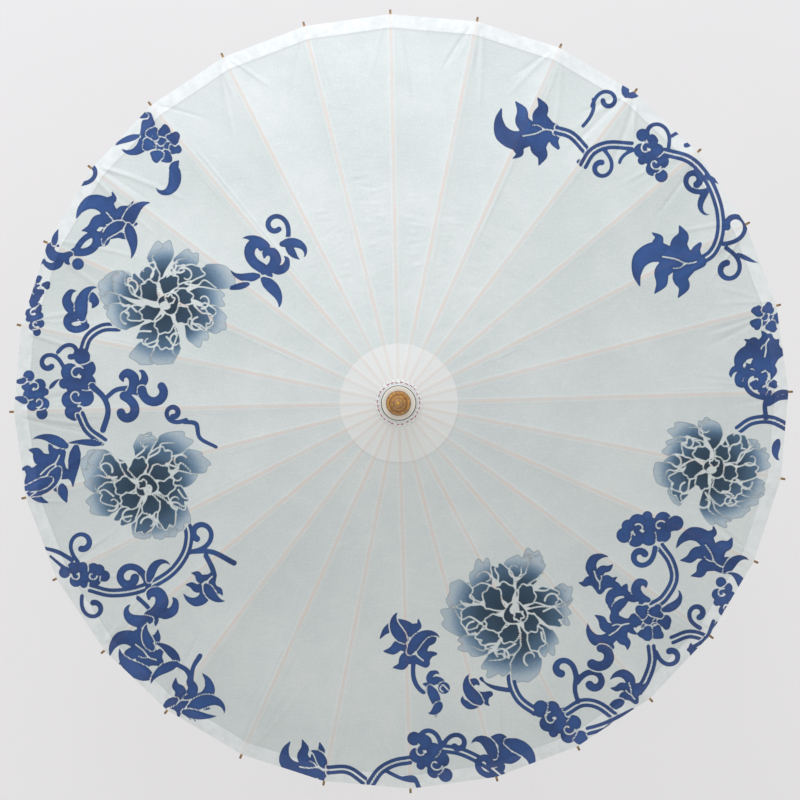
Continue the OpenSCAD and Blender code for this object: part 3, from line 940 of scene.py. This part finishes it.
def hub_material(name, z_wire):
    m = wood_material(name, rgb(122, 82, 46), rgb(170, 124, 76), rgb(92, 58, 30), (26, 26, 5), (0.35, 0.5), 0.25)
    co = m.coord()
    sep = m.node("ShaderNodeSeparateXYZ")
    m.put(sep.inputs[0], co)
    R = m.math("SQRT", m.math("ADD", m.math("MULTIPLY", sep.outputs[0], sep.outputs[0]), m.math("MULTIPLY", sep.outputs[1], sep.outputs[1])))
    d = m.math("SQRT", m.math("ADD", m.math("POWER", m.math("SUBTRACT", R, 0.017), 2.0), m.math("POWER", m.math("SUBTRACT", sep.outputs[2], z_wire), 2.0)))
    wire = m.ramp(d, 0.00054, 0.00058, 1.0, 0.0)
    old = m.bsdf.inputs["Base Color"].links[0].from_socket
    m.put(m.bsdf.inputs["Base Color"], m.mix(wire, old, rgb(150, 146, 138)))
    m.put(m.bsdf.inputs["Metallic"], m.math("MULTIPLY", wire, 0.95))
    return m.mat


HUB_WOOD = hub_material("hub_wood", HUB_Z * MM)
RUNNER_WOOD = hub_material("runner_wood", RUN_Z * MM)
POLE_WOOD = wood_material("pole_wood", rgb(150, 106, 60), rgb(196, 152, 98), rgb(116, 78, 42), (40, 40, 2.4), (0.30, 0.45), 0.35).mat
GRIP_WOOD = wood_material("grip_wood", rgb(96, 58, 30), rgb(146, 96, 54), rgb(64, 38, 20), (34, 34, 3.0), (0.26, 0.42), 0.5).mat


def finial_material():
    """Golden turned wood with fine lathe rings, with painted shade in the grooves and toward the edge and a painted
    highlight on the nib.
    """
    m = wood_material("finial_wood", rgb(150, 94, 18), rgb(212, 156, 50), rgb(116, 68, 12), (60, 60, 12), (0.28, 0.42), 0.25)
    sep = m.node("ShaderNodeSeparateXYZ")
    m.put(sep.inputs[0], m.coord())
    R = m.math("SQRT", m.math("ADD", m.math("MULTIPLY", sep.outputs[0], sep.outputs[0]), m.math("MULTIPLY", sep.outputs[1], sep.outputs[1])))
    z = sep.outputs[2]
    old = m.bsdf.inputs["Base Color"].links[0].from_socket
    lathe_ = m.math("SINE", m.math("MULTIPLY", m.math("ADD", R, m.math("MULTIPLY", z, 0.6)), 5200.0))
    col = m.mix(m.ramp(lathe_, -0.2, 1.0, 0.0, 0.30), old, rgb(114, 66, 12))
    # painted shade: dark rings in the grooves and at the outer edge, as they look from above
    for at, w, k in ((0.0126, 0.0012, 0.75), (0.0088, 0.0010, 0.80), (0.0050, 0.0008, 0.75), (0.0030, 0.0005, 0.4)):
        band = m.ramp(m.math("ABSOLUTE", m.math("SUBTRACT", R, at)), 0.0, w, k, 0.0)
        col = m.mix(band, col, rgb(100, 54, 8))
    # painted highlight: a bright gold spot on the nib
    col = m.mix(m.ramp(R, 0.0006, 0.0026, 0.55, 0.0), col, rgb(232, 176, 58))
    m.put(m.bsdf.inputs["Base Color"], col)
    return m.mat


FINIAL_WOOD = finial_material()


def plain(name, col, rough, metal=0.0, scale=300.0, vary=0.12, bump=0.1):
    m = Tree(name)
    co = m.coord()
    n = m.noise(co, scale, 3.0, 0.6)
    dark = tuple(c * (1 - vary * 2) for c in col[:3]) + (1.0,)
    m.set(Base_Color=m.mix(m.ramp(n, 0.3, 0.7), dark, col), Roughness=m.ramp(n, 0.3, 0.7, rough * 0.85, min(1.0, rough * 1.15)), Normal=m.bump(n, bump, 0.0001))
    m.bsdf.inputs["Metallic"].default_value = metal
    return m.mat


STEEL = plain("catch_steel", rgb(150, 148, 142), 0.34, 0.95)
CREAM = plain("collar_cream", rgb(236, 232, 220), 0.5, 0, 260.0, 0.05, 0.3)
# painted shadow: a dark ring material for the shade in the gap round the collar
SHADOW_RING = plain("painted_shadow_ring", rgb(84, 78, 72), 0.7, 0, 900.0, 0.2, 0.5)
PINK = plain("pink_thread", rgb(196, 78, 106), 0.7, 0, 1500.0, 0.2, 0.6)

for i in range(N):
    for base in ("rib", "stretcher"):
        o = NODES[f"{base}_{i + 1:02d}"]
        o.data.materials.clear()
        o.data.materials.append(BAMBOO)
for name, mat in (("top_hub", HUB_WOOD), ("runner", RUNNER_WOOD)):
    NODES[name].data.materials.clear()
    NODES[name].data.materials.append(mat)


# ------------------------------------------------------------------ mesh helpers
def new_object(name, verts, faces, mats, slots=None, smooth_faces=None, body="root"):
    me = bpy.data.meshes.new(name)
    me.from_pydata([tuple(v) for v in np.asarray(verts, float)], [], [tuple(int(k) for k in f) for f in faces])
    for mt in mats:
        me.materials.append(mt)
    if slots is not None:
        me.polygons.foreach_set("material_index", np.asarray(slots, np.int32))
    me.polygons.foreach_set("use_smooth", np.ones(len(faces), bool) if smooth_faces is None else np.asarray(smooth_faces, bool))
    me.update()
    o = bpy.data.objects.new(name, me)
    scene.collection.objects.link(o)
    if body:
        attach(o, body)
    return o


def skin_piece(name, cols, body, mats, lift=0.0, thick=THICK, rsel=None, tilt_cols=None):
    """A closed piece of the skin over some columns of the whole surface: fine on top, half as fine below."""
    ri = np.arange(NR) if rsel is None else rsel
    if len(ri) % 2 == 0:
        ri = ri[:-1] if rsel is None else np.append(ri, ri[-1] + 1)
    C = np.array(cols) % (N * PER)
    nr, nc = len(ri), len(C)
    G = np.ix_(ri, C)
    top = np.stack([X[G], Y[G], Z[G] + lift], -1).reshape(-1, 3)
    ntop = NRM[G].reshape(-1, 3)
    rb, cb = np.arange(0, nr, 2), np.arange(0, nc, 2)
    B = np.ix_(ri[rb], C[cb])
    hem = 0.32 * smooth(397.6, 401.2, rows[ri[rb]])[:, None]
    low = np.stack([X[B], Y[B], Z[B] + lift - thick - hem], -1).reshape(-1, 3)
    nlow = -NRM[B].reshape(-1, 3)
    nb_r, nb_c = len(rb), len(cb)
    t = lambda a, b: a * nc + b
    u = lambda a, b: nr * nc + a * nb_c + b
    a, b = np.meshgrid(np.arange(nr - 1), np.arange(nc - 1), indexing="ij")
    a, b = a.ravel(), b.ravel()
    ftop = np.stack([t(a, b), t(a + 1, b), t(a + 1, b + 1), t(a, b + 1)], 1)
    a, b = np.meshgrid(np.arange(nb_r - 1), np.arange(nb_c - 1), indexing="ij")
    a, b = a.ravel(), b.ravel()
    flow = np.stack([u(a, b), u(a, b + 1), u(a + 1, b + 1), u(a + 1, b)], 1)
    walls = []

    def wall(top_ids, low_ids, turn):
        for k in range(len(low_ids) - 1):
            p, q, r, s, w = top_ids[2 * k], top_ids[2 * k + 1], top_ids[2 * k + 2], low_ids[k], low_ids[k + 1]
            for f in ((p, s, q), (q, s, w), (q, w, r)):
                walls.append(f if turn else f[::-1])

    wall([t(0, k) for k in range(nc)], [u(0, k) for k in range(nb_c)], True)
    wall([t(nr - 1, k) for k in range(nc)], [u(nb_r - 1, k) for k in range(nb_c)], False)
    wall([t(k, 0) for k in range(nr)], [u(k, 0) for k in range(nb_r)], False)
    wall([t(k, nc - 1) for k in range(nr)], [u(k, nb_c - 1) for k in range(nb_r)], True)
    verts = np.vstack([top, low]) * MM
    me = bpy.data.meshes.new(name)
    quads = np.vstack([ftop, flow])
    nq, nw = len(quads), len(walls)
    me.vertices.add(len(verts))
    me.vertices.foreach_set("co", verts.astype(np.float32).ravel())
    loops = np.concatenate([quads.ravel(), np.array(walls, int).ravel()])
    me.loops.add(len(loops))
    me.loops.foreach_set("vertex_index", loops.astype(np.int32))
    me.polygons.add(nq + nw)
    start = np.concatenate([np.arange(nq) * 4, nq * 4 + np.arange(nw) * 3])
    me.polygons.foreach_set("loop_start", start.astype(np.int32))
    me.polygons.foreach_set("loop_total", np.concatenate([np.full(nq, 4), np.full(nw, 3)]).astype(np.int32))
    me.polygons.foreach_set("use_smooth", np.concatenate([np.ones(nq, bool), np.zeros(nw, bool)]))
    for mt in mats:
        me.materials.append(mt)
    slot = np.concatenate([np.zeros(len(ftop)), np.ones(len(flow)) * (len(mats) > 1), np.zeros(nw)]).astype(np.int32)
    me.polygons.foreach_set("material_index", slot)
    me.update(calc_edges=True)
    me.validate()
    vn = np.vstack([ntop, nlow])
    ln = np.zeros((len(loops), 3))
    ln[: nq * 4] = vn[quads.ravel()]
    me.normals_split_custom_set([tuple(v) for v in ln])
    for key, arr in (("ink", INK), ("pet", PET), ("tone", TONE), ("yrib", YRIB), ("ridge", RR)):
        at = me.attributes.new(key, "FLOAT", "POINT")
        at.data.foreach_set("value", np.concatenate([arr[G].ravel(), arr[B].ravel()]).astype(np.float32))
    vis = me.attributes.new("ribvis", "FLOAT", "POINT")
    rr = np.concatenate([RR[G].ravel(), RR[B].ravel()])
    vis.data.foreach_set("value", (0.62 + 0.38 * smooth(40, 90, rr) * (1 - 0.15 * smooth(300, 415, rr))).astype(np.float32))
    o = bpy.data.objects.new(name, me)
    scene.collection.objects.link(o)
    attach(o, body)
    return o


def axes_of(i):
    th = i * PITCH
    u = Vector((COS * math.cos(th), COS * math.sin(th), -SIN))
    t = Vector((-math.sin(th), math.cos(th), 0))
    n = Vector((SIN * math.cos(th), SIN * math.sin(th), COS))
    return u, t, n


skin = []
area_half = None
for i in range(N):
    u, t, n = axes_of(i)
    body = f"rib_{i + 1:02d}"
    strip = skin_piece(f"skin_strip_{i + 1:02d}", range(i * PER, i * PER + 5), body, [PAPER, PAPER_UNDER])
    left = skin_piece(f"skin_fold_a_{i + 1:02d}", range(i * PER + 4, i * PER + 4 + SEG // 2 + 1), body, [PAPER, PAPER_UNDER])
    right = skin_piece(f"skin_fold_b_{i + 1:02d}", range(i * PER - SEG // 2, i * PER + 1), body, [PAPER, PAPER_UNDER])
    for o, side in ((left, 1), (right, -1)):
        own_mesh(o)
    skin += [strip, left, right]
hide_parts("canopy")

# each fold is a long wedge from the hub to the rim, half a gore wide
for i in range(N):
    strip, left, right = skin[3 * i : 3 * i + 3]

# ------------------------------------------------------------------ the cap over the middle
cap_rows = np.nonzero(rows <= CAP_R + 1.5)[0]
caps = []
for i in range(N):
    u, t, n = axes_of(i)
    o = skin_piece(f"cap_fold_{i + 1:02d}", range(i * PER - SEG // 2, i * PER + 4 + SEG // 2 + 1), f"rib_{i + 1:02d}",
                   [PAPER_CAP, PAPER_CAP], 0.42, 0.30, cap_rows)
    tuple(t)
    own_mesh(o)
    caps.append(o)


def lathe(name, profile, mat, segs=128, body="root", wave=None):
    """A turned piece from a profile of (r, z) in mm, closed if it starts and ends on the axis or repeats its first point."""
    prof = np.array(profile, float)
    closed = np.allclose(prof[0], prof[-1])
    if closed:
        prof = prof[:-1]
    k = len(prof)
    th = np.arange(segs) * 2 * math.pi / segs
    verts, ring = [], []
    for r, z in prof:
        if r < 1e-6:
            ring.append([len(verts)] * segs)
            verts.append((0, 0, z))
        else:
            ring.append(list(range(len(verts), len(verts) + segs)))
            verts += [(r * math.cos(a), r * math.sin(a), z) for a in th]
    faces = []
    for j in range(k if closed else k - 1):
        p, q = ring[j], ring[(j + 1) % k]
        for s in range(segs):
            e = (s + 1) % segs
            f = [p[s], p[e], q[e], q[s]]
            f = [v for n_, v in enumerate(f) if v not in f[:n_]]
            if len(f) > 2:
                faces.append(f)
    verts = np.array(verts, float)
    if wave is not None:
        verts = wave(verts)
    o = new_object(name, verts * MM, faces, [mat], body=body)
    bm_fix(o)
    return o


def bm_fix(o):
    import bmesh

    bm = bmesh.new()
    bm.from_mesh(o.data)
    bmesh.ops.recalc_face_normals(bm, faces=bm.faces)
    bm.to_mesh(o.data)
    bm.free()


def bevel(o, width, segs=3, angle=30):
    b = o.modifiers.new("bevel", "BEVEL")
    b.width, b.segments, b.limit_method, b.angle_limit = width * MM, segs, "ANGLE", math.radians(angle)
    return o


def chain(points, per=6):
    """A smooth profile through (r, z) points."""
    return [tuple(p) for p in curve(points, per)]


# the paper over the hub and the cap's middle, which stay with the pole
zf = HUB_Z + 2.2 + 0.4
R_FLAT = 19.8
crown = lathe("crown", [(8.8, zf), (R_FLAT, zf), (R_FLAT, zf + 0.9), (8.8, zf + 0.9), (8.8, zf)], PAPER_CAP, 168)


def bend_piece(i):
    """The short stretch of paper that turns down from the hub's top on to a rib."""
    nr_, nc_ = 7, 5
    top, low = [], []
    for j in range(nr_):
        f = j / (nr_ - 1)
        r = R_FLAT - 0.15 + (24.9 - R_FLAT + 0.15) * f
        # height blends from the flat top to the slope
        zt = (1 - smooth(0, 1, f)) * (zf + 0.9) + smooth(0, 1, f) * (under(24.9) + THICK + 0.62)
        half = PITCH / 2
        for k in range(nc_):
            a_ = i * PITCH - half + 2 * half * k / (nc_ - 1)
            flat_ = r / math.cos((a_ - i * PITCH))
            flat_ = r * (1 - f) + flat_ * f
            p = (r * math.cos(a_), r * math.sin(a_))
            top.append((p[0], p[1], zt))
            low.append((p[0], p[1], zt - 0.9))
    verts = top + low
    m_ = nr_ * nc_
    faces = []
    for j in range(nr_ - 1):
        for k in range(nc_ - 1):
            q = j * nc_ + k
            faces.append((q, q + nc_, q + nc_ + 1, q + 1))
            faces.append((m_ + q, m_ + q + 1, m_ + q + nc_ + 1, m_ + q + nc_))
    edge = [k for k in range(nc_)] + [j * nc_ + nc_ - 1 for j in range(1, nr_)] + [(nr_ - 1) * nc_ + k for k in range(nc_ - 2, -1, -1)] + [j * nc_ for j in range(nr_ - 2, 0, -1)]
    for p, q in zip(edge, edge[1:] + edge[:1]):
        faces.append((p, q, m_ + q, m_ + p))
    o = new_object(f"crown_bend_{i + 1:02d}", np.array(verts) * MM, faces, [PAPER_CAP], body=None)
    bm_fix(o)
    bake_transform(o)
    return o


bends = [bend_piece(i) for i in range(N)]
zc = zf + 0.9
collar = lathe("collar", [(8.8, zc), (16.6, zc), (17.4, zc + 0.35), (17.4, zc + 0.9), (16.8, zc + 1.35), (15.6, zc + 1.5), (10.4, zc + 1.62), (8.8, zc + 1.5), (8.8, zc)], CREAM)
# a dark torus placed where the gap between the collar and the stitches lies in shade: painted shadow
ring = lathe("collar_cord", [(17.75 + 0.42 * math.cos(a), zc + 0.46 + 0.42 * math.sin(a)) for a in np.linspace(0, 2 * math.pi, 13)], SHADOW_RING)


def stitch_ring():
    """Short running stitches of pink thread round the collar."""
    g = np.random.default_rng(7)
    verts, faces = [], []
    n = 27
    for k in range(n):
        a0 = (k + g.uniform(-0.15, 0.15)) * 2 * math.pi / n
        length = g.uniform(2.4, 4.0) / 21.6
        r0 = 21.8 + g.normal(scale=0.35)
        m, sides = 7, 6
        first = len(verts)
        for j in range(m):
            f = j / (m - 1)
            a = a0 + (f - 0.5) * length
            lift = 0.30 * math.sin(math.pi * f)
            rad = 0.48 * (0.35 + 0.65 * math.sin(math.pi * min(max(f, 0.08), 0.92)))
            r = r0 + (f - 0.5) * g.normal(scale=0.2)
            fz = smooth(0, 1, (r - R_FLAT + 0.15) / (25.05 - R_FLAT))
            z = (1 - fz) * (zf + 0.9) + fz * (under(24.9) + THICK + 0.62) + lift * 0.5 + 0.12
            for s in range(sides):
                b = s * 2 * math.pi / sides
                verts.append(((r + rad * math.cos(b)) * math.cos(a), (r + rad * math.cos(b)) * math.sin(a), z + rad * math.sin(b)))
        for j in range(m - 1):
            for s in range(sides):
                e = (s + 1) % sides
                faces.append((first + j * sides + s, first + j * sides + e, first + (j + 1) * sides + e, first + (j + 1) * sides + s))
        faces.append(tuple(first + s for s in range(sides))[::-1])
        faces.append(tuple(first + (m - 1) * sides + s for s in range(sides)))
    o = new_object("collar_stitches", np.array(verts) * MM, faces, [PINK])
    bm_fix(o)
    return o


stitches = stitch_ring()

# ------------------------------------------------------------------ pole, finial, grip, catch
zb = 536.05
fin = [(0, 0), (9.4, 0), (10.3, 0.5), (10.45, 1.7), (10.2, 2.7), (9.3, 3.3), (9.2, 4.2), (10.2, 5.2), (11.8, 6.2), (12.7, 7.5), (13.0, 9.3),
       (12.8, 11.2), (12.2, 12.8), (11.7, 13.5), (11.8, 13.9), (10.9, 15.2), (9.6, 16.6), (8.9, 17.2), (8.7, 17.9), (8.9, 18.4), (8.0, 19.2),
       (6.6, 20.9), (5.5, 22.9), (4.9, 24.5), (4.75, 25.1), (4.95, 25.6), (4.3, 26.2), (3.7, 27.4), (3.3, 29.4), (2.9, 31.6), (2.1, 33.3), (1.0, 34.3), (0, 34.6)]
finial = lathe("finial", [(r, z + zb) for r, z in fin], FINIAL_WOOD, 96)
pole = bpy.data.objects.new("pole", NODES["shaft"].data.copy())


def part_of(node, name, pick, mats):
    """A copy of one closed piece of a CAD node, chosen by a test on its box in mm."""
    import bmesh

    bm = bmesh.new()
    bm.from_mesh(NODES[node].data)
    bmesh.ops.remove_doubles(bm, verts=bm.verts, dist=1e-7)
    bm.verts.ensure_lookup_table()
    seen, keep = set(), set()
    for v0 in bm.verts:
        if v0.index in seen:
            continue
        stack, group = [v0], []
        seen.add(v0.index)
        while stack:
            v = stack.pop()
            group.append(v)
            for e in v.link_edges:
                w = e.other_vert(v)
                if w.index not in seen:
                    seen.add(w.index)
                    stack.append(w)
        co = np.array([v.co for v in group]) * 1000
        if pick(co.min(0), co.max(0)):
            keep |= {v.index for v in group}
    bmesh.ops.delete(bm, geom=[v for v in bm.verts if v.index not in keep], context="VERTS")
    me = bpy.data.meshes.new(name)
    bm.to_mesh(me)
    bm.free()
    for m in mats:
        me.materials.append(m)
    me.polygons.foreach_set("use_smooth", np.zeros(len(me.polygons), bool))
    o = bpy.data.objects.new(name, me)
    scene.collection.objects.link(o)
    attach(o, "root")
    return o


bpy.data.objects.remove(pole)
pole = part_of("shaft", "pole", lambda a, b: a[2] < 50 and b[2] > 500, [POLE_WOOD])
catch = part_of("shaft", "catch", lambda a, b: a[2] > 300 and b[2] < 400, [STEEL])
for o in (pole, catch):
    for p in o.data.polygons:
        p.use_smooth = True
    es = o.modifiers.new("split", "EDGE_SPLIT")
    es.split_angle = math.radians(35)
grip_r = 11.0
grip = lathe("grip", [(0, 12), (7.55, 12), (7.55, 100), (8.9, 100), (10.2, 98.9), (10.95, 98), (11, 97), (11, 92.6), (10.7, 92.2), (10.7, 91.4), (11, 91), (11, 60),
                      (11, 30), (11, 9), (10.7, 8.6), (10.7, 7.8), (11, 7.4), (11, 1.4), (10.6, 0.5), (9.9, 0), (0, 0)], GRIP_WOOD, 96)
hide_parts("shaft")

# ------------------------------------------------------------------ stage, light, camera
floor_mesh = bpy.data.meshes.new("floor")
S = 6.0
floor_mesh.from_pydata([(-S, -S, -0.0005), (S, -S, -0.0005), (S, S, -0.0005), (-S, S, -0.0005)], [], [(0, 1, 2, 3)])
fm = Tree("floor_pale")
fco = fm.coord()
fm.set(Base_Color=fm.mix(fm.ramp(fm.noise(fco, 3.0, 3.0), 0.3, 0.7), rgb(160, 159, 160), rgb(163, 162, 163)), Roughness=0.9)
fm.bsdf.inputs["Specular IOR Level"].default_value = 0.1
fm.bsdf.inputs["Emission Color"].default_value = (1.0, 0.985, 0.99, 1)
fm.bsdf.inputs["Emission Strength"].default_value = 0.49
floor_mesh.materials.append(fm.mat)
floor = bpy.data.objects.new("floor", floor_mesh)
scene.collection.objects.link(floor)

world = bpy.data.worlds.new("studio")
scene.world = world
world.use_nodes = True
bg = world.node_tree.nodes["Background"]
bg.inputs[0].default_value = (1.0, 1.0, 1.0, 1)
bg.inputs[1].default_value = 0.74


key = bpy.data.lights.new("softbox", "AREA")
key.shape, key.size, key.size_y = "RECTANGLE", 1.1, 0.8
key.energy, key.color = 15.6, (0.91, 0.93, 1.0)

key_o = bpy.data.objects.new("softbox", key)
scene.collection.objects.link(key_o)
ka = math.radians(97)
key_o.location = (1.6 * math.cos(ka), 1.6 * math.sin(ka), 1.25)
key_o.rotation_euler = (key_o.location - Vector((0, 0, 0.45))).to_track_quat("Z", "Y").to_euler()

cam = bpy.data.cameras.new("camera")
cam.sensor_width = 36.0
cam.lens = 36.0 * CAM_F / 800
cam.clip_end = 60
cam_o = bpy.data.objects.new("camera", cam)
scene.collection.objects.link(cam_o)
cam_o.location = tuple(cam_at * MM)
cam_o.rotation_euler = Matrix((tuple(cam_x), tuple(cam_y), tuple(to_cam))).transposed().to_euler()
scene.camera = cam_o
scene.view_settings.view_transform = "Standard"
